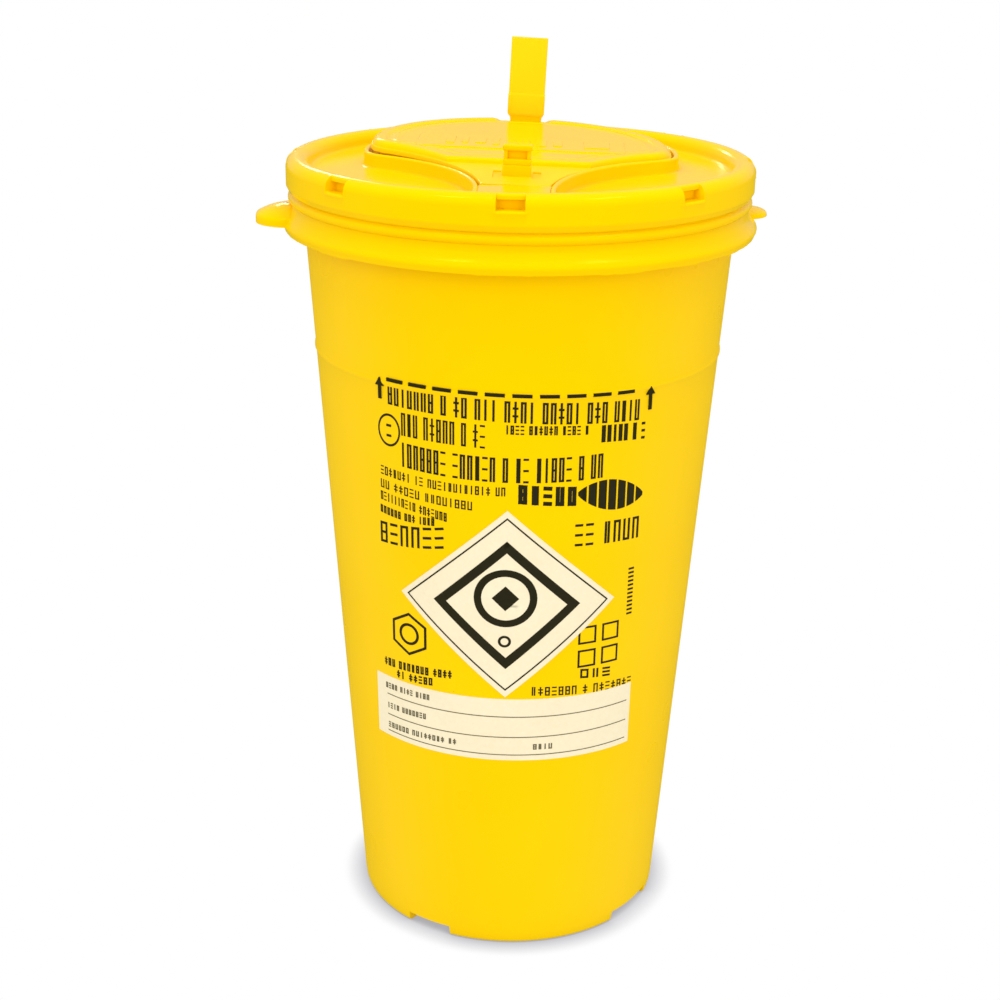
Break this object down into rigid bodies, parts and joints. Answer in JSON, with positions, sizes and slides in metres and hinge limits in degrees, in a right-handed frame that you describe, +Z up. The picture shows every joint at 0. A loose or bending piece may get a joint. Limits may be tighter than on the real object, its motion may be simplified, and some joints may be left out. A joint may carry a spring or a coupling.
{
  "type": "sharps container",
  "caption": "Tapered plastic sharps container with a press-on lid, a hinged mushroom-shaped flap, an upright pull strip, a small catch, a drip skirt and finger lugs.",
  "frame": {"origin": "centre of the base, on the plane the foot stands on", "axes": "+Z up from the foot to the lid; -Y is the front, the labelled side nearest the flap's hinge; +X to the right seen from the front. The YZ plane halves the lid."},
  "size_m": [0.121, 0.11, 0.2092],
  "materials": {
    "pot_plastic": "yellow injection-moulded plastic, glossy with a faint satin grain",
    "lid_plastic": "yellow injection-moulded plastic, glossy",
    "label_film": "cream printed film, matt"
  },
  "bodies": {
    "container": {"foot_ring": "pot_plastic", "container_floor": "pot_plastic", "container_wall": "pot_plastic", "fill_line_ring": "pot_plastic", "neck": "pot_plastic", "snap_bead": "pot_plastic", "drip_skirt": "pot_plastic", "lug_left": "pot_plastic", "lug_right": "pot_plastic", "lid_rim": "lid_plastic", "rim_bead": "lid_plastic", "snap_hooks": "lid_plastic", "lid_deck": "lid_plastic", "sealing_plug": "lid_plastic", "collar": "lid_plastic", "flap_seat": "lid_plastic", "hinge_land": "lid_plastic", "flap_hinge": "lid_plastic", "hazard_label": "label_film", "write_on_label": "label_film"},
    "flap": {"flap_panel": "lid_plastic", "flap_plug": "lid_plastic", "flap_border": "lid_plastic", "flap_disc": "lid_plastic", "flap_plate": "lid_plastic", "strip_root": "lid_plastic", "catch_base": "lid_plastic"},
    "pull_strip": {"pull_strip": "lid_plastic"},
    "catch": {"catch_post": "lid_plastic"}
  },
  "joints": [
    {"name": "flap_turn", "type": "hinge", "parent": "container", "child": "flap", "pos_m": [0, -0.041, 0.18705], "axis": [1, 0, 0], "range_deg": [0, 120]},
    {"name": "strip_fold", "type": "hinge", "parent": "flap", "child": "pull_strip", "pos_m": [0, 0.0396, 0.1894], "axis": [1, 0, 0], "range_deg": [-45, 80], "stiffness_Nm_per_rad": 0.002},
    {"name": "catch_flex", "type": "hinge", "parent": "flap", "child": "catch", "pos_m": [0, -0.0293, 0.18955], "axis": [1, 0, 0], "range_deg": [-8, 8], "stiffness_Nm_per_rad": 0.02}
  ]
}
